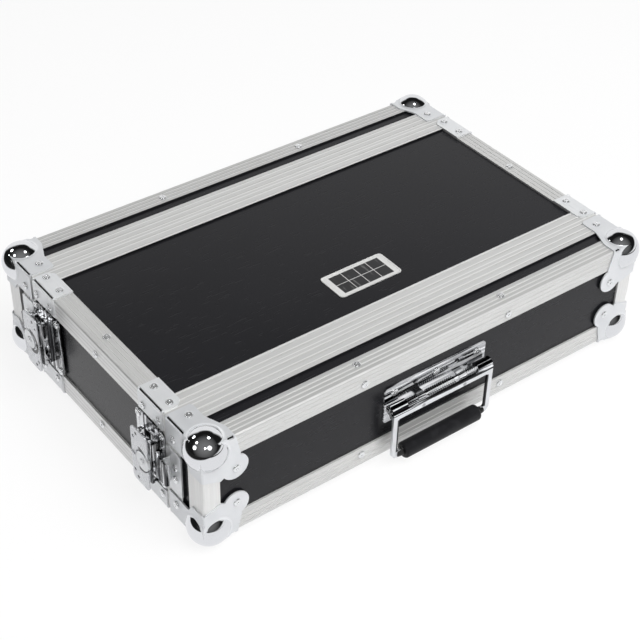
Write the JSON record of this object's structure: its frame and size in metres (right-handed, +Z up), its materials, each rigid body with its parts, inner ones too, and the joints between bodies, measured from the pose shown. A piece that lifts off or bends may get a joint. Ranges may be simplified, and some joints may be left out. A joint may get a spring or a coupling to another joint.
{
  "type": "rack case",
  "caption": "Flat two-unit rack case: black panelled sleeve with aluminium edges, pull-off front and rear lids, ball corners, butterfly latches and a sprung handle.",
  "frame": {"origin": "centre of the part's box on the surface that it stands on", "axes": "+X to the right across the width, +Y from the handle at the front to the rear, +Z up"},
  "size_m": [0.5538, 0.3757, 0.1298],
  "materials": {
    "black_laminate": "black phenolic film on plywood, fine texture",
    "anodised_aluminium": "satin anodised extrusion",
    "plated_steel": "zinc-plated pressed steel",
    "bright_chrome": "polished chrome plate",
    "black_steel": "black zinc-plated steel strip",
    "rubber": "matte moulded rubber",
    "label_metal": "thin printed aluminium plate, left without words"
  },
  "bodies": {
    "sleeve": {"top_panel": "black_laminate", "bottom_panel": "black_laminate", "left_side_panel": "black_laminate", "right_side_panel": "black_laminate", "sleeve_edge_angles": "anodised_aluminium", "front_sleeve_closure": "anodised_aluminium", "rear_sleeve_closure": "anodised_aluminium", "front_corner_braces": "plated_steel", "rear_corner_braces": "plated_steel", "sleeve_rivets": "plated_steel", "front_rack_strips": "black_steel", "rear_rack_strips": "black_steel", "rack_strip_screws": "black_steel", "label_plate": "label_metal", "latch_bases": "bright_chrome", "latch_rivets": "plated_steel"},
    "front_lid": {"front_lid_panel": "black_laminate", "front_lid_walls": "black_laminate", "front_lid_closure": "anodised_aluminium", "front_lid_edge_angles": "anodised_aluminium", "front_lid_corner_angles": "anodised_aluminium", "front_lid_upper_ball_corners": "plated_steel", "front_lid_lower_ball_corners": "plated_steel", "front_lid_rivets": "plated_steel", "front_lid_keepers": "plated_steel", "handle_backplate": "bright_chrome", "handle_axle": "bright_chrome", "handle_springs": "bright_chrome", "handle_rivets": "plated_steel"},
    "rear_lid": {"rear_lid_panel": "black_laminate", "rear_lid_walls": "black_laminate", "rear_lid_closure": "anodised_aluminium", "rear_lid_edge_angles": "anodised_aluminium", "rear_lid_corner_angles": "anodised_aluminium", "rear_lid_upper_ball_corners": "plated_steel", "rear_lid_lower_ball_corners": "plated_steel", "rear_lid_rivets": "plated_steel", "rear_lid_keepers": "plated_steel"},
    "handle": {"handle_bail": "plated_steel", "handle_grip": "rubber"},
    "front_left_latch_rotor": {"front_left_latch_rotor": "plated_steel"},
    "front_left_latch_upper_wing": {"front_left_latch_upper_wing": "plated_steel"},
    "front_left_latch_lower_wing": {"front_left_latch_lower_wing": "plated_steel"},
    "front_left_latch_hook": {"front_left_latch_hook": "bright_chrome"},
    "front_right_latch_rotor": {"front_right_latch_rotor": "plated_steel"},
    "front_right_latch_upper_wing": {"front_right_latch_upper_wing": "plated_steel"},
    "front_right_latch_lower_wing": {"front_right_latch_lower_wing": "plated_steel"},
    "front_right_latch_hook": {"front_right_latch_hook": "bright_chrome"},
    "rear_left_latch_rotor": {"rear_left_latch_rotor": "plated_steel"},
    "rear_left_latch_upper_wing": {"rear_left_latch_upper_wing": "plated_steel"},
    "rear_left_latch_lower_wing": {"rear_left_latch_lower_wing": "plated_steel"},
    "rear_left_latch_hook": {"rear_left_latch_hook": "bright_chrome"},
    "rear_right_latch_rotor": {"rear_right_latch_rotor": "plated_steel"},
    "rear_right_latch_upper_wing": {"rear_right_latch_upper_wing": "plated_steel"},
    "rear_right_latch_lower_wing": {"rear_right_latch_lower_wing": "plated_steel"},
    "rear_right_latch_hook": {"rear_right_latch_hook": "bright_chrome"}
  },
  "joints": [
    {"name": "front_lid_pull", "type": "slide", "parent": "sleeve", "child": "front_lid", "axis": [0, -1, 0], "range_m": [0, 0.03]},
    {"name": "rear_lid_pull", "type": "slide", "parent": "sleeve", "child": "rear_lid", "axis": [0, 1, 0], "range_m": [0, 0.03]},
    {"name": "handle_swing", "type": "hinge", "parent": "front_lid", "child": "handle", "pos_m": [0, -0.17442, 0.0674], "axis": [-1, 0, 0], "range_deg": [0, 90], "stiffness_Nm_per_rad": 0.05, "springref_deg": -17.19},
    {"name": "front_left_hook_swing", "type": "hinge", "parent": "sleeve", "child": "front_left_latch_hook", "pos_m": [-0.2665, -0.10892, 0.0649], "axis": [0, 0, -1], "range_deg": [0, 75.5]},
    {"name": "front_left_rotor_turn", "type": "hinge", "parent": "sleeve", "child": "front_left_latch_rotor", "pos_m": [-0.272, -0.09692, 0.0649], "axis": [-1, 0, 0], "range_deg": [0, 90]},
    {"name": "front_left_upper_wing_fold", "type": "hinge", "parent": "front_left_latch_rotor", "child": "front_left_latch_upper_wing", "pos_m": [-0.2745, -0.08092, 0.06615], "axis": [0, -1, 0], "range_deg": [0, 85]},
    {"name": "front_left_lower_wing_fold", "type": "hinge", "parent": "front_left_latch_rotor", "child": "front_left_latch_lower_wing", "pos_m": [-0.2745, -0.08092, 0.06365], "axis": [0, 1, 0], "range_deg": [0, 85]},
    {"name": "front_right_hook_swing", "type": "hinge", "parent": "sleeve", "child": "front_right_latch_hook", "pos_m": [0.2665, -0.10892, 0.0649], "axis": [0, 0, 1], "range_deg": [0, 75.5]},
    {"name": "front_right_rotor_turn", "type": "hinge", "parent": "sleeve", "child": "front_right_latch_rotor", "pos_m": [0.272, -0.09692, 0.0649], "axis": [1, 0, 0], "range_deg": [0, 90]},
    {"name": "front_right_upper_wing_fold", "type": "hinge", "parent": "front_right_latch_rotor", "child": "front_right_latch_upper_wing", "pos_m": [0.2745, -0.08092, 0.06615], "axis": [0, 1, 0], "range_deg": [0, 85]},
    {"name": "front_right_lower_wing_fold", "type": "hinge", "parent": "front_right_latch_rotor", "child": "front_right_latch_lower_wing", "pos_m": [0.2745, -0.08092, 0.06365], "axis": [0, -1, 0], "range_deg": [0, 85]},
    {"name": "rear_left_hook_swing", "type": "hinge", "parent": "sleeve", "child": "rear_left_latch_hook", "pos_m": [-0.2665, 0.12108, 0.0649], "axis": [0, 0, 1], "range_deg": [0, 75.5]},
    {"name": "rear_left_rotor_turn", "type": "hinge", "parent": "sleeve", "child": "rear_left_latch_rotor", "pos_m": [-0.272, 0.10908, 0.0649], "axis": [-1, 0, 0], "range_deg": [0, 90]},
    {"name": "rear_left_upper_wing_fold", "type": "hinge", "parent": "rear_left_latch_rotor", "child": "rear_left_latch_upper_wing", "pos_m": [-0.2745, 0.09308, 0.06615], "axis": [0, -1, 0], "range_deg": [0, 85]},
    {"name": "rear_left_lower_wing_fold", "type": "hinge", "parent": "rear_left_latch_rotor", "child": "rear_left_latch_lower_wing", "pos_m": [-0.2745, 0.09308, 0.06365], "axis": [0, 1, 0], "range_deg": [0, 85]},
    {"name": "rear_right_hook_swing", "type": "hinge", "parent": "sleeve", "child": "rear_right_latch_hook", "pos_m": [0.2665, 0.12108, 0.0649], "axis": [0, 0, -1], "range_deg": [0, 75.5]},
    {"name": "rear_right_rotor_turn", "type": "hinge", "parent": "sleeve", "child": "rear_right_latch_rotor", "pos_m": [0.272, 0.10908, 0.0649], "axis": [1, 0, 0], "range_deg": [0, 90]},
    {"name": "rear_right_upper_wing_fold", "type": "hinge", "parent": "rear_right_latch_rotor", "child": "rear_right_latch_upper_wing", "pos_m": [0.2745, 0.09308, 0.06615], "axis": [0, 1, 0], "range_deg": [0, 85]},
    {"name": "rear_right_lower_wing_fold", "type": "hinge", "parent": "rear_right_latch_rotor", "child": "rear_right_latch_lower_wing", "pos_m": [0.2745, 0.09308, 0.06365], "axis": [0, -1, 0], "range_deg": [0, 85]}
  ],
  "couplings": [
    {"joint": "front_left_hook_swing", "follows": "front_lid_pull", "rad_per_m": 43.633},
    {"joint": "front_right_hook_swing", "follows": "front_lid_pull", "rad_per_m": 43.633},
    {"joint": "rear_left_hook_swing", "follows": "rear_lid_pull", "rad_per_m": 43.633},
    {"joint": "rear_right_hook_swing", "follows": "rear_lid_pull", "rad_per_m": 43.633}
  ]
}
